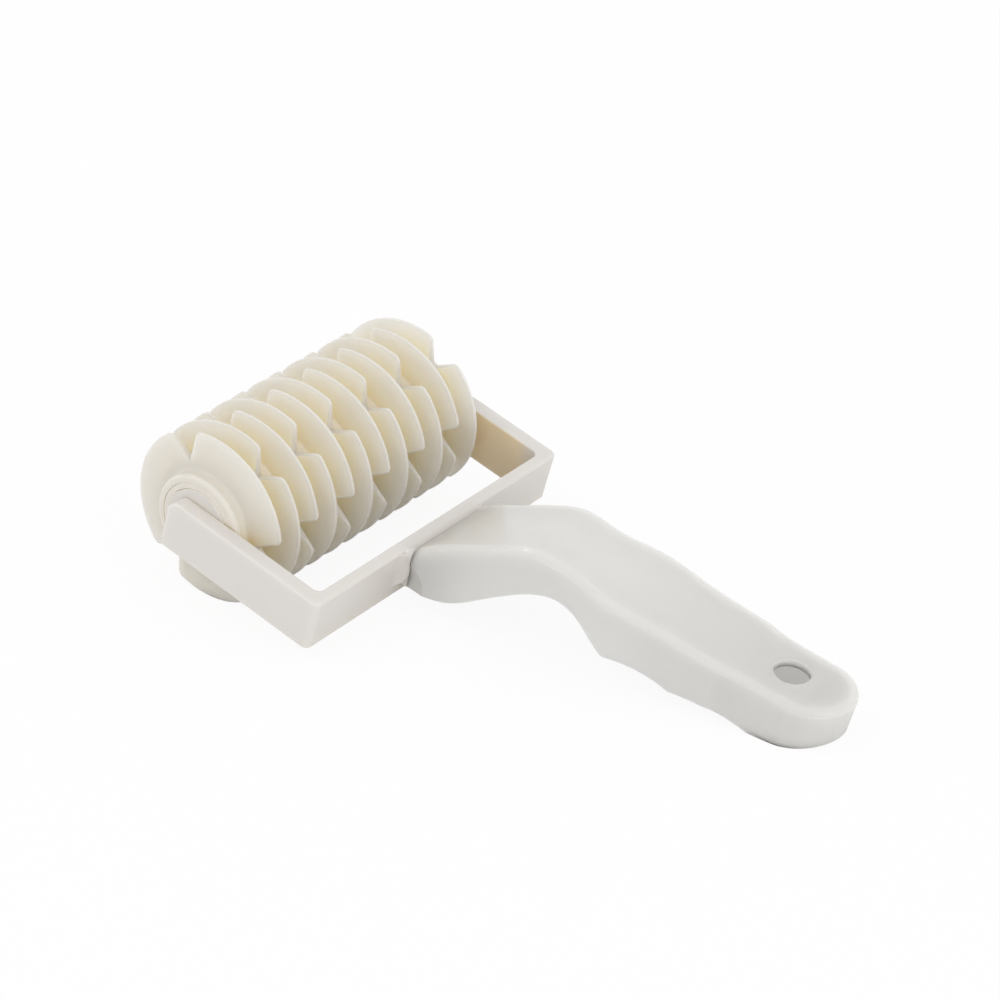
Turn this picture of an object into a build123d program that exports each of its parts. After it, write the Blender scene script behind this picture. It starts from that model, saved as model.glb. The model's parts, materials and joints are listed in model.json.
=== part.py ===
from build123d import *
from math import atan2, degrees, hypot, radians, tan
import os

# Pastry lattice roller: twelve notched discs on a hollow core that turns between the arms of a yoke,
# and a raised, hollow handle behind it. Millimetres.
# It is drawn in the yoke's own frame: the axle at the origin, +X towards the handle's tail, +Y towards
# the far arm, +Z square to the arms. At the end it is tipped to lie on its roller and its tail.

# Roller
disc_count = 12
disc_radius = 25.0
disc_pitch = 7.6
rim_width = 0.8
disc_root_width = 3.0
hub_wall = 2.15
hub_blend_radius = 0.8
notch_count = 3
notch_depth = 8.3
notch_half_angle = 33.0
notch_tip_radius = 2.0
notch_base_radius = 0.5
first_notch_angle = 5.0
disc_turn_angle = 60.6
lug_radius = 0.55
lug_height = 0.8
lug_clearance = 0.1
core_bore_radius = 10.3
core_wall = 1.7
core_edge_radius = 0.3
end_ring_width = 1.4
end_ring_edge_radius = 1.0
slip_clearance = 0.05
running_clearance = 0.06

# Yoke
arm_end_gap = 0.35
arm_thickness = 4.8
arm_top = 6.6
arm_bottom = 9.0
arm_front = 7.0
arm_front_radius = 3.5
arm_reach = 45.7
bar_thickness = 3.5
yoke_corner_radius = 2.0
window_corner_radius = 2.0
yoke_top_edge_radius = 0.7
yoke_edge_radius = 0.5
boss_length = 5.0
boss_edge_radius = 0.4
collar_depth = 2.5
collar_corner_radius = 6.0
collar_corner_height = 5.0
tongue_length = 12.0
tongue_half_width = 7.0
tongue_height = 5.5
tongue_clearance = 0.1

# Handle
ramp_length = 2.5
neck_run = 45.0
neck_rise = 24.9
grip_run = 85.2
grip_rise = 7.1
underside_drop = 11.9
underside_run = 52.0
underside_rise = 26.4
heel_depth = 17.1
middle_finger_depth = 16.0
last_finger_depth = 15.2
tail_depth = 11.0
root_half_width = 17.5
neck_half_width = 14.9
waist_half_width = 12.9
grip_half_width = 14.7
tail_radius = 12.0
handle_edge_radius = 2.0
finger_rest_radius = 1.5
finger_hollow_height = 1.3
handle_wall = 2.2
front_wall = 3.0
socket_wall = 2.0
relief_radius = 20.0
relief_depth = 3.1
relief_height = 1.5
hole_radius = 5.0
hole_setback = 18.4

# Side profile of the handle, as shares of each stretch's run and rise
neck_top_shares = [(0.0, 0.0), (0.06, 0.02), (0.16, 0.16), (0.38, 0.46), (0.6, 0.735)]
neck_top_shares += [(0.72, 0.873), (0.83, 0.962), (1.0, 1.0)]
grip_top_shares = [(0.14, 0.1), (0.37, 0.22), (0.6, 0.41), (0.83, 0.67), (1.0, 1.0)]
neck_underside_shares = [(0.0, 0.0), (0.14, 0.02), (0.23, 0.06), (0.33, 0.135), (0.52, 0.44)]
neck_underside_shares += [(0.71, 0.77), (0.81, 0.9), (0.91, 0.978), (1.0, 1.0)]
heel_shares = [(0.345, 0.15), (0.69, 0.6), (1.0, 1.0)]
finger_rest_shares = [0.254, 0.493, 0.769]
tail_belly_shares = (0.55, 0.44)
# Plan of the handle: where the flare, neck, waist, grip and taper lie along it, and how wide they are
plan_shares = [0.06, 0.14, 0.25, 0.41, 0.52, 0.66, 0.82]
flare_share = 0.28
taper_shares = [0.68, 0.46]
root_slope_share = -0.5

overrun = 1.0
steepest_pitch = 45.0
pitch_tolerance = 0.001

# Places along the axle
hub_half = disc_pitch / 2
stack_half = disc_count * hub_half
ring_face = stack_half + end_ring_width
arm_inner = ring_face + arm_end_gap
arm_outer = arm_inner + arm_thickness
core_radius = core_bore_radius + core_wall
disc_bore_radius = core_radius + slip_clearance
hub_radius = disc_bore_radius + hub_wall
lug_circle_radius = (disc_bore_radius + hub_radius) / 2

# Places along the handle
bar_inner = arm_reach - bar_thickness
seam = arm_reach + collar_depth
neck_start = arm_reach - ramp_length
grip_start = neck_start + neck_run
tail_end = grip_start + grip_run
tail_centre = tail_end - tail_radius
profile_end = tail_end + overrun
underside_start = arm_top - underside_drop
tall = 2 * (neck_rise + grip_rise)


def on_axle(y, angle=0):
    """A place on the axle whose own Z points to the near arm, turned from +X towards +Z."""
    return Plane(origin=(0, y, 0), x_dir=(1, 0, 0), z_dir=(0, -1, 0)).location * Rot(0, 0, angle)


def lugs(radius, height):
    lug = Cylinder(radius, height, align=(Align.CENTER, Align.CENTER, Align.MIN))
    return Part() + PolarLocations(lug_circle_radius, notch_count) * lug


def disc_blank():
    """A hub with a thin web that tapers to the rim, before it is notched."""
    half_root = disc_root_width / 2
    half_rim = rim_width / 2
    outline = [(disc_bore_radius, hub_half), (hub_radius, hub_half), (hub_radius, half_root)]
    outline += [(disc_radius, half_rim), (disc_radius, -half_rim)]
    outline += [(hub_radius, -half_root), (hub_radius, -hub_half), (disc_bore_radius, -hub_half)]
    section = make_face(Polyline(*outline, close=True))
    web_feet = section.vertices().filter_by_position(Axis.Y, -half_root, half_root).sort_by(Axis.X)[:2]
    section = fillet(web_feet, hub_blend_radius)
    return revolve(Plane.XZ * section, Axis.Z)


def disc_plan():
    """The disc's outline, with its notches."""
    apex = disc_radius - notch_depth
    reach = disc_radius + overrun
    spread = (reach - apex) * tan(radians(notch_half_angle))
    notch = make_face(Polyline((apex, 0), (reach, spread), (reach, -spread), close=True))
    plan = Circle(disc_radius) - PolarLocations(0, notch_count) * notch
    bases = [v for v in plan.vertices() if hypot(v.X, v.Y) < apex + slip_clearance]
    plan = fillet(bases, notch_base_radius)
    tips = [v for v in plan.vertices() if hypot(v.X, v.Y) > disc_radius - slip_clearance]
    return fillet(tips, notch_tip_radius)


def cutter_disc():
    disc = disc_blank() & extrude(disc_plan(), hub_half, both=True)
    disc += Pos(0, 0, hub_half) * lugs(lug_radius, lug_height)
    sockets = lugs(lug_radius + lug_clearance, lug_height + lug_clearance)
    return disc - Pos(0, 0, -hub_half) * Rot(0, 0, disc_turn_angle) * sockets


def roller_core():
    tube = Cylinder(core_radius, 2 * ring_face) - Cylinder(core_bore_radius, 2 * ring_face)
    tube = fillet(tube.edges().filter_by(GeomType.CIRCLE), core_edge_radius)
    return on_axle(0) * tube


def end_ring():
    ring = Cylinder(hub_radius, end_ring_width) - Cylinder(disc_bore_radius, end_ring_width)
    outer_edges = ring.edges().filter_by(GeomType.CIRCLE).group_by(SortBy.RADIUS)[-1]
    return fillet(outer_edges.sort_by(Axis.Z)[-1], end_ring_edge_radius)


def near_end_ring():
    """The ring that takes the first disc's lugs."""
    sockets = lugs(lug_radius + lug_clearance, lug_height + lug_clearance)
    ring = end_ring() - Pos(0, 0, -end_ring_width / 2) * sockets
    return on_axle(-stack_half - end_ring_width / 2, first_notch_angle) * ring


def far_end_ring():
    return on_axle(stack_half + end_ring_width / 2) * Rot(180, 0, 0) * end_ring()


def along(shares, x, z, run, rise):
    return [(x + a * run, z + b * rise) for a, b in shares]


def top_points():
    neck = along(neck_top_shares, neck_start, arm_top, neck_run, neck_rise)
    return neck + along(grip_top_shares, grip_start, arm_top + neck_rise, profile_end - grip_start, grip_rise)


def top_at(x):
    """Height and slope of the handle's top."""
    points = top_points()
    for (xa, za), (xb, zb) in zip(points[:-1], points[1:]):
        if xa <= x <= xb:
            return za + (zb - za) * (x - xa) / (xb - xa), degrees(atan2(zb - za, xb - xa))


def sunk(points, inset):
    """The same line, moved square to itself into the handle."""
    moved = []
    for i, (x, z) in enumerate(points):
        xa, za = points[max(i - 1, 0)]
        xb, zb = points[min(i + 1, len(points) - 1)]
        length = hypot(xb - xa, zb - za)
        moved.append((x + inset * (zb - za) / length, z - inset * (xb - xa) / length))
    return moved


def underside():
    """Lower edge of the skirt: neck, heel, two finger hollows and the tail's belly."""
    neck = along(neck_underside_shares, neck_start, underside_start, underside_run, underside_rise)
    depths = [heel_depth, middle_finger_depth, last_finger_depth]
    places = [grip_start + share * grip_run for share in finger_rest_shares]
    rests = [(x, top_at(x)[0] - depth) for x, depth in zip(places, depths)]
    waist_x, waist_z = neck[-1]
    heel = along(heel_shares, waist_x, waist_z, rests[0][0] - waist_x, rests[0][1] - waist_z)
    edges = Spline(*neck, *heel)
    for (xa, za), (xb, zb) in zip(rests[:-1], rests[1:]):
        crown = ((xa + xb) / 2, (za + zb) / 2 + finger_hollow_height)
        edges += ThreePointArc((xa, za), crown, (xb, zb))
    tail = (profile_end, arm_top + neck_rise + grip_rise - tail_depth)
    belly = tuple(a + share * (b - a) for a, b, share in zip(rests[-1], tail, tail_belly_shares))
    return edges + ThreePointArc(rests[-1], belly, tail)


def side_face():
    top = top_points()
    lower = underside()
    start = (neck_start, underside_start)
    end = (profile_end, arm_top + neck_rise + grip_rise - tail_depth)
    face = make_face(lower + Spline(*top) + Line(start, top[0]) + Line(end, top[-1]))
    low_corners = face.vertices().filter_by_position(Axis.Y, underside_start, arm_top + neck_rise)
    rests = low_corners.filter_by_position(Axis.X, grip_start, tail_centre)
    return fillet(rests, finger_rest_radius)


def plan_face(inset=0.0):
    flare = neck_half_width + flare_share * (root_half_width - neck_half_width)
    widths = [flare, neck_half_width, neck_half_width, waist_half_width, grip_half_width]
    widths += [tail_radius + share * (grip_half_width - tail_radius) for share in taper_shares]
    run = tail_centre - neck_start
    points = [(bar_inner, root_half_width)]
    points += [(neck_start + share * run, width) for share, width in zip(plan_shares, widths)]
    points += [(tail_centre, tail_radius)]
    points = [(x, y - inset) for x, y in points]
    far = Spline(*points, tangents=[(1, root_slope_share), (1, 0)])
    root, end = points[0][1], points[-1][1]
    tail = ThreePointArc((tail_centre, end), (tail_centre + end, 0), (tail_centre, -end))
    return make_face(far + tail + mirror(far, Plane.XZ) + Line((bar_inner, -root), (bar_inner, root)))


def across(face):
    """The side profile carried right across the handle."""
    reach = root_half_width + overrun
    far_side = Plane(origin=(0, reach, 0), x_dir=(1, 0, 0), z_dir=(0, -1, 0))
    return extrude(far_side * face, 2 * reach, dir=(0, -1, 0))


def upright(face):
    """The plan carried from below the handle to above it."""
    return extrude(Pos(0, 0, -tall) * face, 2 * tall, dir=(0, 0, 1))


def handle_block():
    """Outer form of the handle, from its ramp on the cross-bar to its tail, before it is hollowed."""
    block = across(side_face()) & upright(plan_face())
    crest = block.faces().sort_by(Axis.Z)[-1]
    rim = [e for e in crest.edges() if e.center().X > neck_start + overrun]
    return fillet(rim, handle_edge_radius)


def behind(x):
    """Everything further back than x."""
    depth = profile_end - x
    width = 2 * (root_half_width + overrun)
    return Pos(x, 0, 0) * Box(depth, width, 2 * tall, align=(Align.MIN, Align.CENTER, Align.CENTER))


def under_top(inset, start):
    """Everything that lies deeper than the inset below the handle's top, from start to the tail."""
    roof = sunk(top_points(), inset)
    (front, front_z), (back, back_z) = roof[0], roof[-1]
    floor = underside_start - overrun
    reach = profile_end + overrun
    walls = Polyline((back, back_z), (reach, back_z), (reach, floor), (front, floor), (front, front_z))
    return across(make_face(Spline(*roof) + walls)) & behind(start)


def tongue(clearance=0.0):
    """The bar on the yoke that the handle is pushed on to."""
    width = 2 * (tongue_half_width + clearance)
    height = tongue_height + 2 * clearance
    bar = Box(collar_depth + tongue_length, width, height, align=(Align.MIN, Align.CENTER, Align.MIN))
    return Pos(arm_reach, 0, -clearance) * bar


def handle(block):
    shell = block & behind(seam)
    shell -= under_top(handle_wall, seam + front_wall) & upright(plan_face(handle_wall))
    shell += tongue(tongue_clearance + socket_wall) & behind(seam) & block
    scoop = Sphere(relief_radius)
    reach = root_half_width - relief_depth + relief_radius
    height = underside_start + relief_height
    shell -= Pos(seam, reach, height) * scoop + Pos(seam, -reach, height) * scoop
    shell -= tongue(tongue_clearance)
    hole_x = tail_end - hole_setback
    hole_z, slope = top_at(hole_x)
    hole = Pos(hole_x, 0, hole_z) * Rot(0, -slope, 0) * Cylinder(hole_radius, 4 * handle_wall)
    return shell - hole


def yoke_frame():
    """Two arms and a cross-bar, with rounded edges."""
    length = arm_front + arm_reach
    outer = Pos(-arm_front, 0) * Rectangle(length, 2 * arm_outer, align=(Align.MIN, Align.CENTER))
    outer = fillet(outer.vertices().group_by(Axis.X)[-1], yoke_corner_radius)
    depth = arm_front + overrun + bar_inner
    window = Rectangle(depth, 2 * arm_inner, align=(Align.MAX, Align.CENTER))
    window = fillet(window.vertices().group_by(Axis.X)[-1], window_corner_radius)
    plan = outer - Pos(bar_inner, 0) * window
    frame = Pos(0, 0, -arm_bottom) * extrude(plan, arm_top + arm_bottom)
    noses = frame.edges().filter_by(Axis.Y).group_by(Axis.X)[0].group_by(Axis.Z)[-1]
    frame = fillet(noses, arm_front_radius)

    top = frame.faces().filter_by(Axis.Z).sort_by(Axis.Z)[-1]
    inside = top.edges().filter_by(lambda e: abs(e.center().Y) < arm_inner + slip_clearance)
    frame = fillet(inside.filter_by(lambda e: e.center().X < arm_reach - slip_clearance), yoke_edge_radius)
    top = frame.faces().filter_by(Axis.Z).sort_by(Axis.Z)[-1]
    sides = top.edges().filter_by(lambda e: abs(e.center().Y) > arm_outer - slip_clearance)
    frame = fillet(sides + [top.edges().sort_by(Axis.X)[-1]], yoke_top_edge_radius)
    bottom = frame.faces().filter_by(Axis.Z).sort_by(Axis.Z)[0]
    return fillet(bottom.edges(), yoke_edge_radius)


def collar_corners():
    """What is cut from the collar's outer lower corners, so that the handle's skirt shows behind them."""
    radius = collar_corner_radius
    across_all = 2 * (root_half_width + overrun)
    place = Pos(seam - radius, 0, underside_start + collar_corner_height)
    corner = Box(radius + overrun, across_all, 2 * radius, align=(Align.MIN, Align.CENTER, Align.MAX))
    corner -= Rot(90, 0, 0) * Cylinder(radius, across_all + overrun)
    core = Box(4 * radius, 2 * (root_half_width - relief_depth), 6 * radius)
    return place * (corner - core) & behind(arm_reach)


def collar_flare():
    """Hollow curve that carries the cross-bar's rear face out to the collar's rear edge."""
    band = Pos(seam, 0) * Rectangle(slip_clearance, 4 * root_half_width)
    reach = (plan_face() & band).bounding_box().max.Y + collar_depth
    plan = Pos(bar_inner, 0) * Rectangle(seam - bar_inner, 2 * reach, align=(Align.MIN, Align.CENTER))
    plan -= Pos(seam, reach) * Circle(collar_depth) + Pos(seam, -reach) * Circle(collar_depth)
    height = arm_top - yoke_top_edge_radius - underside_start
    return Pos(0, 0, underside_start) * extrude(plan, height) - collar_corners()


def yoke(block):
    boss_radius = core_bore_radius - running_clearance
    boss = Cylinder(boss_radius, boss_length, align=(Align.CENTER, Align.CENTER, Align.MIN))
    boss = fillet(boss.edges().filter_by(GeomType.CIRCLE).sort_by(Axis.Z)[-1], boss_edge_radius)
    bosses = on_axle(-arm_inner) * Rot(180, 0, 0) * boss + on_axle(arm_inner) * boss
    collar = block - behind(seam) - collar_corners()
    return yoke_frame() + bosses + collar + collar_flare() + tongue()


def resting_pitch(part):
    """Angle that tips the roller and the tail on to one level surface."""
    low, high = 0.0, steepest_pitch
    while high - low > pitch_tolerance:
        middle = (low + high) / 2
        lowest = (Rot(0, middle, 0) * part).bounding_box().min.Z
        low, high = (middle, high) if lowest > -disc_radius else (low, middle)
    return low


block = handle_block()
pieces = {"yoke": yoke(block), "handle": handle(block), "roller_core": roller_core()}
pieces["near_end_ring"] = near_end_ring()
pieces["far_end_ring"] = far_end_ring()
disc = cutter_disc()
for i in range(disc_count):
    place = on_axle(-stack_half + hub_half + i * disc_pitch, first_notch_angle + i * disc_turn_angle)
    pieces[f"cutter_disc_{i + 1:02d}"] = place * disc

pitch = resting_pitch(pieces["handle"])
tail_reach = (Rot(0, pitch, 0) * pieces["handle"]).bounding_box().max.X
rest = Pos((disc_radius - tail_reach) / 2, 0, disc_radius) * Rot(0, pitch, 0)
os.makedirs("parts", exist_ok=True)
for name, piece in pieces.items():
    export_step(rest * piece, f"parts/{name}.step")
print("pitch", round(pitch, 3), "length", round(tail_reach + disc_radius, 2))
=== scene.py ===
import json
from math import cos, pi, radians, sin

import bmesh
import bpy
from mathutils import Euler, Matrix, Vector


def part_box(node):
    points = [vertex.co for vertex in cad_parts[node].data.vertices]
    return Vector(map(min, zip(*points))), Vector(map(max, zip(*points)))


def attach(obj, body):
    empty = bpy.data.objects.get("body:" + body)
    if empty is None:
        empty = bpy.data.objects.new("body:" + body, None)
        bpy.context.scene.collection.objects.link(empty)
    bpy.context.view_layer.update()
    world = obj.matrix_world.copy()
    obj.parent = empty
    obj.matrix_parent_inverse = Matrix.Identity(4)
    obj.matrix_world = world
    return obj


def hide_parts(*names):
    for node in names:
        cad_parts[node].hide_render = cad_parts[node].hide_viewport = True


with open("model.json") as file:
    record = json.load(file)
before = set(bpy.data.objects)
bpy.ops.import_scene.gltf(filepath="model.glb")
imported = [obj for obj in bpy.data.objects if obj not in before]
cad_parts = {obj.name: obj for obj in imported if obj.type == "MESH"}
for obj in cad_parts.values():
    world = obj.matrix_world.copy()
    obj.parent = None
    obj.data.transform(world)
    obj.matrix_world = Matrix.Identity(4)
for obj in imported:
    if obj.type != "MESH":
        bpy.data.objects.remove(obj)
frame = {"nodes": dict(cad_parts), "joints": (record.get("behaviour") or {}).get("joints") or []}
nodes = frame["nodes"]
axle = Vector(frame["joints"][0]["pos_m"])
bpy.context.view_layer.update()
print("frame loaded:", len(nodes), "nodes")


# node tree helpers
def addNode(tree, kind, **settings):
    made = tree.nodes.new(kind)
    for key, value in settings.items():
        setattr(made, key, value)
    return made


def counted(tree, operation, *values):
    # each value is a plain number or another node's output
    made = addNode(tree, "ShaderNodeMath", operation=operation)
    for socket, value in zip(made.inputs, values):
        if isinstance(value, float):
            socket.default_value = value
        else:
            tree.links.new(value, socket)
    return made.outputs[0]


def product(tree, *shares):
    result = shares[0]
    for share in shares[1:]:
        result = counted(tree, "MULTIPLY", result, share)
    return result


def ranged(tree, source, fromRange, toRange):
    made = addNode(tree, "ShaderNodeMapRange")
    tree.links.new(source, made.inputs["Value"])
    ends = ("From Min", "From Max", "To Min", "To Max")
    for end, value in zip(ends, (*fromRange, *toRange)):
        made.inputs[end].default_value = value
    return made.outputs["Result"]


def placeOn(tree, output="Object"):
    # one shared coordinate node in each tree
    if "place" not in tree.nodes:
        addNode(tree, "ShaderNodeTexCoord", name="place")
    return tree.nodes["place"].outputs[output]


def split(tree, source):
    made = addNode(tree, "ShaderNodeSeparateXYZ")
    tree.links.new(source, made.inputs[0])
    return made.outputs


def noise(tree, scale, detail):
    made = addNode(tree, "ShaderNodeTexNoise")
    made.inputs["Scale"].default_value = scale
    made.inputs["Detail"].default_value = detail
    tree.links.new(placeOn(tree), made.inputs["Vector"])
    return made.outputs["Fac"]


def tinted(tree, base, share, tint):
    made = addNode(tree, "ShaderNodeMix", data_type="RGBA")
    made.inputs["B"].default_value = (*tint, 1)
    tree.links.new(share, made.inputs["Factor"])
    tree.links.new(base, made.inputs["A"])
    return made.outputs["Result"]


def axleDistance(tree):
    fromAxle = addNode(tree, "ShaderNodeVectorMath", operation="SUBTRACT")
    tree.links.new(placeOn(tree), fromAxle.inputs[0])
    fromAxle.inputs[1].default_value = axle
    flat = addNode(tree, "ShaderNodeVectorMath", operation="MULTIPLY")
    tree.links.new(fromAxle.outputs[0], flat.inputs[0])
    flat.inputs[1].default_value = (1, 0, 1)
    length = addNode(tree, "ShaderNodeVectorMath", operation="LENGTH")
    tree.links.new(flat.outputs[0], length.inputs[0])
    return length.outputs["Value"]


def newMaterial(name):
    material = bpy.data.materials.new(name)
    material.use_nodes = True
    tree = material.node_tree
    return material, tree, tree.nodes["Principled BSDF"]


# camera
view = {
    "place": (0.49905, -0.65605, 0.49735),
    "turn": (60.805, 0.46, 37.561),
    "lens": 129.6,
    "sensor": 36.0,
}


def placeCamera():
    data = bpy.data.cameras.new("photoCamera")
    data.lens = view["lens"]
    data.sensor_width = view["sensor"]
    camera = bpy.data.objects.new("photoCamera", data)
    turn = Euler([radians(a) for a in view["turn"]])
    camera.matrix_world = Matrix.LocRotScale(Vector(view["place"]), turn, None)
    bpy.context.scene.collection.objects.link(camera)
    bpy.context.scene.camera = camera


# light and floor
lamps = {
    "keyLamp": {"place": (-0.75, -0.45, 1.2), "size": 0.12, "watts": 1.7},
    "sideLamp": {"place": (1.5, -0.35, 0.55), "size": 1.2, "watts": 5.4},
    "frontLamp": {"place": (-0.2, -1.4, 0.45), "size": 1.2, "watts": 0.6},
    "edgeLamp": {"place": (-1.39, -0.53, 0.33), "size": 0.25, "watts": 1.6},
}
studio = {
    "white": (1, 1, 1, 1),
    "skyStrength": 0.905,
    "floorSize": 6.0,
    "floorColour": (0.88, 0.88, 0.88, 1),
    "floorRoughness": 0.9,
    "floorGlow": 0.92,  # how far the camera sees the floor as white
}


def hangLamps():
    for name, lamp in lamps.items():
        data = bpy.data.lights.new(name, "AREA")
        data.shape = "DISK"
        data.size = lamp["size"]
        data.energy = lamp["watts"]
        obj = bpy.data.objects.new(name, data)
        place = Vector(lamp["place"])
        towardsObject = (-place).to_track_quat("-Z", "Y")
        obj.matrix_world = Matrix.LocRotScale(place, towardsObject, None)
        bpy.context.scene.collection.objects.link(obj)


def paintSky():
    # white to the camera, a little softer as a light
    world = bpy.data.worlds.new("studioSky")
    bpy.context.scene.world = world
    world.use_nodes = True
    tree = world.node_tree
    sky = tree.nodes["Background"]
    sky.inputs["Color"].default_value = studio["white"]
    sky.inputs["Strength"].default_value = studio["skyStrength"]
    seen = addNode(tree, "ShaderNodeBackground")
    seen.inputs["Color"].default_value = studio["white"]
    path = addNode(tree, "ShaderNodeLightPath")
    mix = addNode(tree, "ShaderNodeMixShader")
    tree.links.new(path.outputs["Is Camera Ray"], mix.inputs["Fac"])
    tree.links.new(sky.outputs[0], mix.inputs[1])
    tree.links.new(seen.outputs[0], mix.inputs[2])
    tree.links.new(mix.outputs[0], tree.nodes["World Output"].inputs["Surface"])


def floorMaterial():
    material, tree, shader = newMaterial("paleFloor")
    shader.inputs["Base Color"].default_value = studio["floorColour"]
    shader.inputs["Roughness"].default_value = studio["floorRoughness"]
    glow = addNode(tree, "ShaderNodeEmission")
    path = addNode(tree, "ShaderNodeLightPath")
    mix = addNode(tree, "ShaderNodeMixShader")
    share = counted(tree, "MULTIPLY", path.outputs["Is Camera Ray"], studio["floorGlow"])
    tree.links.new(share, mix.inputs["Fac"])
    tree.links.new(shader.outputs[0], mix.inputs[1])
    tree.links.new(glow.outputs[0], mix.inputs[2])
    tree.links.new(mix.outputs[0], tree.nodes["Material Output"].inputs["Surface"])
    return material


def layFloor():
    half = studio["floorSize"] / 2
    mesh = bpy.data.meshes.new("paleFloor")
    corners = [(-half, -half, 0), (half, -half, 0), (half, half, 0), (-half, half, 0)]
    mesh.from_pydata(corners, [], [(0, 1, 2, 3)])
    mesh.materials.append(floorMaterial())
    floor = bpy.data.objects.new("paleFloor", mesh)
    bpy.context.scene.collection.objects.link(floor)


placeCamera()
hangLamps()
paintSky()
layFloor()
bpy.context.scene.view_settings.view_transform = "Standard"
print("studio ready")

# ivory plastic, translucent: pale in the open, yellower where it is deep between other faces; the colour
# in deep places is painted shade and painted light
ivory = {
    "rays": 8,
    "depthReach": 0.011,
    "depthStops": {"deep": 0.1, "middle": 0.34, "open": 0.82},
    "flow": {"scale": 38.0, "detail": 2.0, "from": (0.3, 0.7), "shade": 0.008},
    "wear": {"scale": 95.0, "detail": 5.0, "from": (0.35, 0.7), "rougher": 0.07},
    "grain": {"scale": 900.0, "detail": 2.0, "strength": 0.35, "depth": 0.00002},
    "refraction": 1.5,
}
# colours by depth first, painted shade and light in deep places, then painted shade and light at single
# places; scatter is the share of light that soaks in
finishes = {
    "handlePlastic": {
        "deep": (0.99, 0.98, 0.95),
        "middle": (0.80, 0.768, 0.705),
        "open": (0.775, 0.752, 0.705),
        "edge": (0.63, 0.607, 0.567),
        "roughness": 0.1,
        "scatter": 1.0,
        "scatterScale": 0.014,
        "scatterReach": (1.0, 1.0, 1.0),
    },
    "yokePlastic": {
        "deep": (0.88, 0.82, 0.72),
        "middle": (0.75, 0.71, 0.65),
        "open": (0.695, 0.667, 0.636),
        "armShade": (0.81, 0.69, 0.49),
        "bossLight": (0.95, 0.92, 0.88),
        "roughness": 0.17,
        "scatter": 0.35,
        "scatterScale": 0.004,
        "scatterReach": (1.0, 0.95, 0.85),
    },
    "rollerPlastic": {
        "deep": (0.95, 0.79, 0.42),
        "middle": (0.84, 0.775, 0.64),
        "open": (0.64, 0.61, 0.555),
        "rim": (0.60, 0.57, 0.515),
        "thinFrom": (0.0150, 0.0175),
        "roughness": 0.38,
        "scatter": 0.9,
        "scatterScale": 0.008,
        "scatterReach": (1.0, 0.98, 0.92),
    },
    "corePlastic": {
        "deep": (0.96, 0.86, 0.62),
        "middle": (0.86, 0.80, 0.69),
        "open": (0.735, 0.695, 0.625),
        "roughness": 0.38,
        "scatter": 0.2,
        "scatterScale": 0.002,
        "scatterReach": (1.0, 0.95, 0.85),
    },
}
# where the yoke's painted shade and painted light lie: a pair of values is where a tint starts to fade and
# where it ends
arms = {
    "thickness": 0.0048,
    "besideRoller": (-0.041, -0.035),
    "facing": (-0.9, -0.6),
    "bossRadius": 0.0107,
    "slack": 0.0002,
}
# the handle's rounded upper edge, where painted shade darkens it: little plastic behind it, and a face
# between side and top
upperEdge = {
    "reach": 0.0021,
    "openness": (0.8, 0.97),
    "sideTilt": (0.02, 0.2),
    "topTilt": (0.92, 0.99),
}
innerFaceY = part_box("yoke")[1][1] - arms["thickness"]


def paintedDepthShade(tree, finish):
    # how closed in a place is, and its colour there, painted shade and light
    closed = addNode(tree, "ShaderNodeAmbientOcclusion", samples=ivory["rays"])
    closed.inputs["Distance"].default_value = ivory["depthReach"]
    ramp = addNode(tree, "ShaderNodeValToRGB")
    at = ivory["depthStops"]
    stops = ramp.color_ramp.elements
    stops[0].position, stops[0].color = at["deep"], (*finish["deep"], 1)
    stops[1].position, stops[1].color = at["open"], (*finish["open"], 1)
    stops.new(at["middle"]).color = (*finish["middle"], 1)
    tree.links.new(closed.outputs["AO"], ramp.inputs["Fac"])
    return ramp.outputs["Color"]


def paintShadeOnArms(tree, colour, tint):
    # painted shade: the arms' inner faces, beside the roller, are tinted yellow
    spot = split(tree, placeOn(tree))
    normal = split(tree, placeOn(tree, "Normal"))
    outward = counted(tree, "MULTIPLY", spot["Y"], normal["Y"])
    inward = ranged(tree, outward, [share * innerFaceY for share in arms["facing"]], (1.0, 0.0))
    across = counted(tree, "ABSOLUTE", spot["Y"])
    onFace = counted(tree, "COMPARE", across, innerFaceY, arms["slack"])
    besideRoller = ranged(tree, spot["X"], arms["besideRoller"], (1.0, 0.0))
    return tinted(tree, colour, product(tree, inward, onFace, besideRoller), tint)


def paintLightOnBosses(tree, colour, tint):
    # painted light: the bosses, in the arms' shade, get a brighter colour
    across = counted(tree, "ABSOLUTE", split(tree, placeOn(tree))["Y"])
    stub = counted(tree, "LESS_THAN", axleDistance(tree), arms["bossRadius"])
    between = counted(tree, "LESS_THAN", across, innerFaceY - arms["slack"])
    return tinted(tree, colour, product(tree, stub, between), tint)


def paintShadeOnRims(tree, colour, tint):
    # painted shade: the thin rims render bright, so their colour is made darker
    rim = addNode(tree, "ShaderNodeAttribute", attribute_name="rim")
    return tinted(tree, colour, rim.outputs["Fac"], tint)


def paintShadeOnUpperEdge(tree, colour, tint):
    # painted shade: a rounded edge gathers light from the top and the side, so its colour is made a shade
    # darker
    bend = addNode(tree, "ShaderNodeAmbientOcclusion", samples=ivory["rays"], inside=True, only_local=True)
    bend.inputs["Distance"].default_value = upperEdge["reach"]
    rounded = ranged(tree, bend.outputs["AO"], upperEdge["openness"], (1.0, 0.0))
    upward = split(tree, placeOn(tree, "Normal"))["Z"]
    aboveSide = ranged(tree, upward, upperEdge["sideTilt"], (0.0, 1.0))
    belowTop = ranged(tree, upward, upperEdge["topTilt"], (1.0, 0.0))
    return tinted(tree, colour, product(tree, aboveSide, belowTop, rounded), tint)


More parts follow.
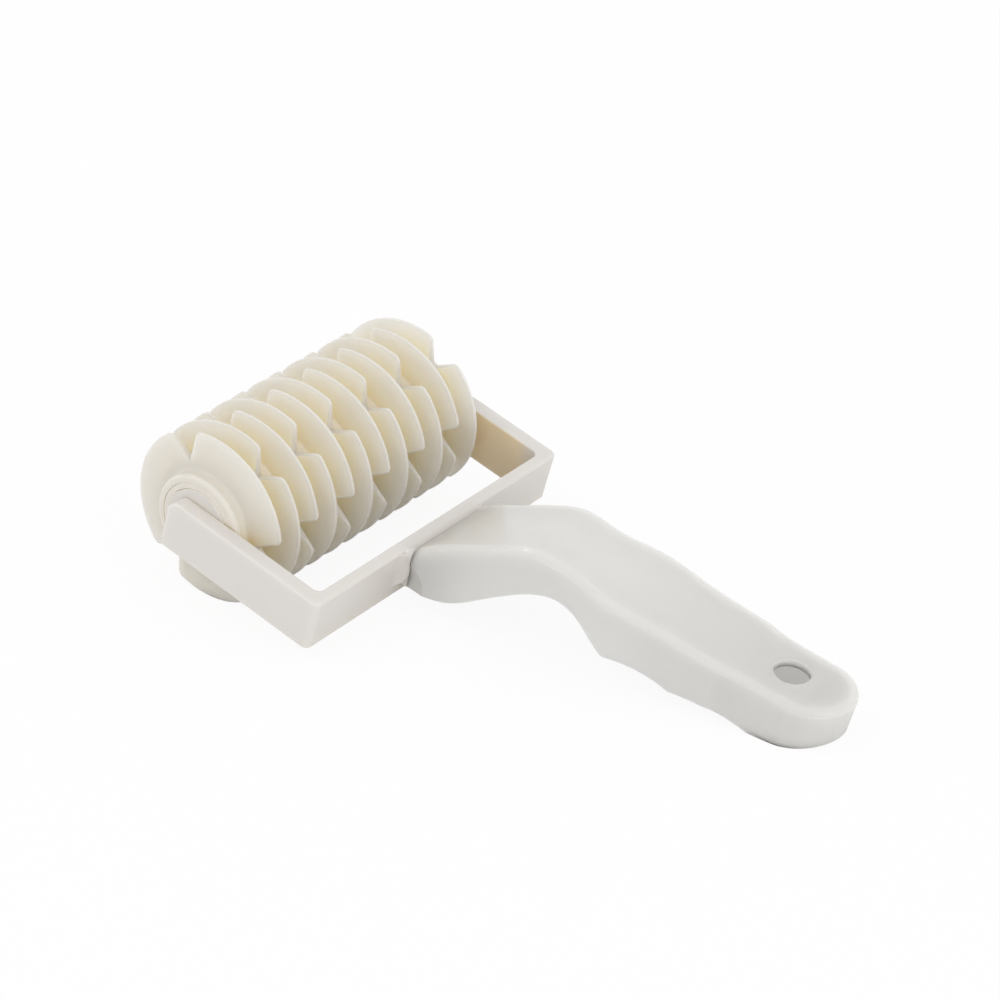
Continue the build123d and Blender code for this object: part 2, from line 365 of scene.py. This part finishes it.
# painted shade and painted light at single places
tintSteps = {"armShade": paintShadeOnArms, "bossLight": paintLightOnBosses, "rim": paintShadeOnRims, "edge": paintShadeOnUpperEdge}


def thinWebs(tree, shader, finish):
    # the thick hubs scatter less than the thin webs
    weight = ranged(tree, axleDistance(tree), finish["thinFrom"], (0.0, finish["scatter"]))
    tree.links.new(weight, shader.inputs["Subsurface Weight"])


def addFlow(tree, shader, colour):
    # cloudy flow of the melt
    flow = ivory["flow"]
    cloud = noise(tree, flow["scale"], flow["detail"])
    shade = ranged(tree, cloud, flow["from"], (1 - flow["shade"], 1 + flow["shade"]))
    scaled = addNode(tree, "ShaderNodeVectorMath", operation="SCALE")
    tree.links.new(colour, scaled.inputs[0])
    tree.links.new(shade, scaled.inputs["Scale"])
    tree.links.new(scaled.outputs[0], shader.inputs["Base Color"])


def addWear(tree, shader, roughness):
    # handling dulls the gloss a little, in patches
    wear = ivory["wear"]
    patches = noise(tree, wear["scale"], wear["detail"])
    rough = ranged(tree, patches, wear["from"], (roughness, roughness + wear["rougher"]))
    tree.links.new(rough, shader.inputs["Roughness"])


def addGrain(tree, shader):
    # fine moulded grain
    grain = ivory["grain"]
    bump = addNode(tree, "ShaderNodeBump")
    bump.inputs["Strength"].default_value = grain["strength"]
    bump.inputs["Distance"].default_value = grain["depth"]
    tree.links.new(noise(tree, grain["scale"], grain["detail"]), bump.inputs["Height"])
    tree.links.new(bump.outputs["Normal"], shader.inputs["Normal"])


def ivoryPlastic(name):
    material, tree, shader = newMaterial(name)
    finish = finishes[name]
    shader.inputs["IOR"].default_value = ivory["refraction"]
    shader.inputs["Subsurface Weight"].default_value = finish["scatter"]
    shader.inputs["Subsurface Radius"].default_value = finish["scatterReach"]
    shader.inputs["Subsurface Scale"].default_value = finish["scatterScale"]
    colour = paintedDepthShade(tree, finish)
    for key, tintStep in tintSteps.items():
        if key in finish:
            colour = tintStep(tree, colour, finish[key])
    if "thinFrom" in finish:
        thinWebs(tree, shader, finish)
    addFlow(tree, shader, colour)
    addWear(tree, shader, finish["roughness"])
    addGrain(tree, shader)
    return material


plastics = {name: ivoryPlastic(name) for name in finishes}
for name, obj in nodes.items():
    obj.data.materials.clear()
    obj.data.materials.append(plastics.get(f"{name}Plastic", plastics["corePlastic"]))
print("plastic finishes set")

# cutter discs
disc = {
    "count": 12,
    "pitch": 0.0076,
    "radius": 0.025,
    "rimWidth": 0.0008,
    "rootWidth": 0.003,
    "hubRadius": 0.0142,
    "boreRadius": 0.01205,
    "hubBlend": 0.0008,
    "hubSeam": 0.00015,
    "notchCount": 3,
    "notchDepth": 0.0083,
    "notchHalfAngle": 33.0,
    "notchCorner": 0.002,
    "notchBase": 0.0005,
    "edge": 0.0003,
    "firstAngle": 5.0,
    "turn": 60.6,
    "tilt": 16.729,
    "baseSteps": 3,
    "wallSteps": 5,
    "cornerSteps": 6,
    "rimSteps": 9,
    "webShares": (0.33, 0.66, 0.93),
    "roundAngles": (0, 30, 60, 90),
    "smoothBelow": 40,
}


def direction(angle):
    return Vector((cos(angle), sin(angle)))


def cornerCentre(apex, wall, inward):
    # the round between a notch wall and the rim touches both
    corner = disc["notchCorner"]
    foot = Vector((apex, 0)) + corner * inward
    along = foot.dot(wall)
    reach = disc["radius"] - corner
    return foot + wall * (-along + (along * along - foot.dot(foot) + reach * reach) ** 0.5)


def outlineHalf():
    # from the middle of a notch to the middle of a tooth: point and outward direction
    halfAngle = radians(disc["notchHalfAngle"])
    apex = disc["radius"] - disc["notchDepth"]
    wall = direction(halfAngle)
    inward = Vector((-wall.y, wall.x))
    corner, base = disc["notchCorner"], disc["notchBase"]
    rows = []
    # the small round at the notch's base
    baseCentre = Vector((apex + base / wall.y, 0))
    for k in range(disc["baseSteps"] + 1):
        around = direction(pi - (pi / 2 - halfAngle) * k / disc["baseSteps"])
        rows.append((baseCentre + base * around, -around))
    # the straight wall
    centre = cornerCentre(apex, wall, inward)
    start, end = rows[-1][0], centre - corner * inward
    for k in range(1, disc["wallSteps"]):
        rows.append((start.lerp(end, k / disc["wallSteps"]), -inward))
    # the tooth's corner
    first, last = -inward, centre.normalized()
    sweep = first.angle(last)
    for k in range(disc["cornerSteps"] + 1):
        share = k / disc["cornerSteps"]
        around = (first * sin((1 - share) * sweep) + last * sin(share * sweep)) / sin(sweep)
        rows.append((centre + corner * around, around))
    # the rim, up to the tooth's middle
    begin = last.angle_signed(Vector((1, 0)))
    middle = pi / disc["notchCount"]
    for k in range(1, disc["rimSteps"] + 1):
        around = direction(begin + (middle - begin) * k / disc["rimSteps"])
        rows.append((disc["radius"] * around, around))
    return rows


def fullOutline():
    half = outlineHalf()
    other = [(Vector((p.x, -p.y)), Vector((n.x, -n.y))) for p, n in half[1:-1]]
    sector = other[::-1] + half
    step = 2 * pi / disc["notchCount"]
    turns = [Matrix.Rotation(k * step, 2) for k in range(disc["notchCount"])]
    return [(turn @ p, turn @ n) for turn in turns for p, n in sector]


def webHeight(r):
    share = (r - disc["hubRadius"]) / (disc["radius"] - disc["hubRadius"])
    return (disc["rootWidth"] + share * (disc["rimWidth"] - disc["rootWidth"])) / 2


def discColumn(point, outward):
    # half of the section at one place of the outline: places in the disc's plane, each with its height
    edge, hub, bore, blend = disc["edge"], disc["hubRadius"], disc["boreRadius"], disc["hubBlend"]
    inner = point - edge * outward
    ray = inner.normalized()
    half = disc["pitch"] / 2
    seam = disc["hubSeam"]
    root = hub + blend
    column = [(ray * bore, half), (ray * (hub - seam), half), (ray * hub, half - seam)]
    for angle in disc["roundAngles"]:
        r = root - blend * cos(radians(angle))
        column.append((ray * r, webHeight(root) + blend * (1 - sin(radians(angle)))))
    for share in disc["webShares"]:
        r = root + share * (inner.length - root)
        column.append((ray * r, webHeight(r)))
    top = webHeight(inner.length)
    for angle in disc["roundAngles"]:
        drop = edge * (1 - cos(radians(angle)))
        column.append((inner + edge * sin(radians(angle)) * outward, top - drop))
    return column


def discMesh():
    mesh = bpy.data.meshes.new("discBlank")
    build = bmesh.new()
    rim = build.verts.layers.float.new("rim")
    rimRows = len(disc["roundAngles"])
    rings = []
    for point, outward in fullOutline():
        column = discColumn(point, outward)
        upper = [build.verts.new((p.x, -h, p.y)) for p, h in column]
        lower = [build.verts.new((p.x, h, p.y)) for p, h in reversed(column)]
        rings.append(upper + lower)
        for vert in upper[-rimRows:] + lower[:rimRows]:
            vert[rim] = 1.0
    for here, there in zip(rings, rings[1:] + rings[:1]):
        for k in range(len(here)):
            n = (k + 1) % len(here)
            build.faces.new((here[k], there[k], there[n], here[n]))
    bmesh.ops.recalc_face_normals(build, faces=build.faces)
    build.to_mesh(mesh)
    build.free()
    return mesh


def stackInputs(tree):
    # the tree's named inputs, and the value that each starts with
    face = tree.interface
    face.new_socket("Geometry", in_out="OUTPUT", socket_type="NodeSocketGeometry")
    face.new_socket("Geometry", in_out="INPUT", socket_type="NodeSocketGeometry")
    inputs = {
        "Disc Count": ("NodeSocketInt", disc["count"]),
        "Disc Pitch": ("NodeSocketFloat", disc["pitch"]),
        "First Angle": ("NodeSocketFloat", radians(disc["firstAngle"] - disc["tilt"])),
        "Turn": ("NodeSocketFloat", radians(disc["turn"])),
        "Axle": ("NodeSocketVector", tuple(axle)),
        "Plastic": ("NodeSocketMaterial", plastics["rollerPlastic"]),
    }
    values = {}
    for name, (kind, value) in inputs.items():
        socket = face.new_socket(name, in_out="INPUT", socket_type=kind)
        values[socket.identifier] = value
    return values


def discStack():
    # Geometry Nodes: one disc, repeated along the axle and turned a little more than a half step each time
    tree = bpy.data.node_groups.new("discStack", "GeometryNodeTree")
    values = stackInputs(tree)
    enter = addNode(tree, "NodeGroupInput")
    gaps = counted(tree, "SUBTRACT", enter.outputs["Disc Count"], 1.0)
    reach = counted(tree, "MULTIPLY", gaps, enter.outputs["Disc Pitch"])
    first = addNode(tree, "ShaderNodeCombineXYZ")
    tree.links.new(counted(tree, "MULTIPLY", reach, -0.5), first.inputs["Y"])
    start = addNode(tree, "ShaderNodeVectorMath")
    tree.links.new(first.outputs[0], start.inputs[0])
    tree.links.new(enter.outputs["Axle"], start.inputs[1])
    offset = addNode(tree, "ShaderNodeCombineXYZ")
    tree.links.new(enter.outputs["Disc Pitch"], offset.inputs["Y"])
    line = addNode(tree, "GeometryNodeMeshLine")
    tree.links.new(enter.outputs["Disc Count"], line.inputs["Count"])
    tree.links.new(start.outputs[0], line.inputs["Start Location"])
    tree.links.new(offset.outputs[0], line.inputs["Offset"])
    index = addNode(tree, "GeometryNodeInputIndex")
    steps = counted(tree, "MULTIPLY", index.outputs[0], enter.outputs["Turn"])
    angle = counted(tree, "ADD", steps, enter.outputs["First Angle"])
    turn = addNode(tree, "ShaderNodeCombineXYZ")
    tree.links.new(counted(tree, "MULTIPLY", angle, -1.0), turn.inputs["Y"])
    spread = addNode(tree, "GeometryNodeInstanceOnPoints")
    tree.links.new(line.outputs[0], spread.inputs["Points"])
    tree.links.new(enter.outputs["Geometry"], spread.inputs["Instance"])
    tree.links.new(turn.outputs[0], spread.inputs["Rotation"])
    real = addNode(tree, "GeometryNodeRealizeInstances")
    tree.links.new(spread.outputs[0], real.inputs[0])
    dressed = addNode(tree, "GeometryNodeSetMaterial")
    tree.links.new(real.outputs[0], dressed.inputs["Geometry"])
    tree.links.new(enter.outputs["Plastic"], dressed.inputs["Material"])
    leave = addNode(tree, "NodeGroupOutput")
    tree.links.new(dressed.outputs[0], leave.inputs[0])
    return tree, values


def bake(obj):
    # the modifiers' result as a plain mesh
    bpy.context.view_layer.update()
    result = bpy.data.meshes.new_from_object(obj.evaluated_get(bpy.context.evaluated_depsgraph_get()))
    obj.modifiers.clear()
    obj.data = result
    result.name = obj.name


def makeDiscs():
    discs = bpy.data.objects.new("cutterDiscs", discMesh())
    bpy.context.scene.collection.objects.link(discs)
    stack = discs.modifiers.new("discStack", "NODES")
    stack.node_group, values = discStack()
    for identifier, value in values.items():
        stack[identifier] = value
    bake(discs)
    discs.data.polygons.foreach_set("use_smooth", [True] * len(discs.data.polygons))
    discs.data.set_sharp_from_angle(angle=radians(disc["smoothBelow"]))
    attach(discs, "roller")
    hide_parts(*[f"cutter_disc_{k + 1:02d}" for k in range(disc["count"])])
    return discs


discs = makeDiscs()
print("cutter discs:", len(discs.data.polygons), "faces")
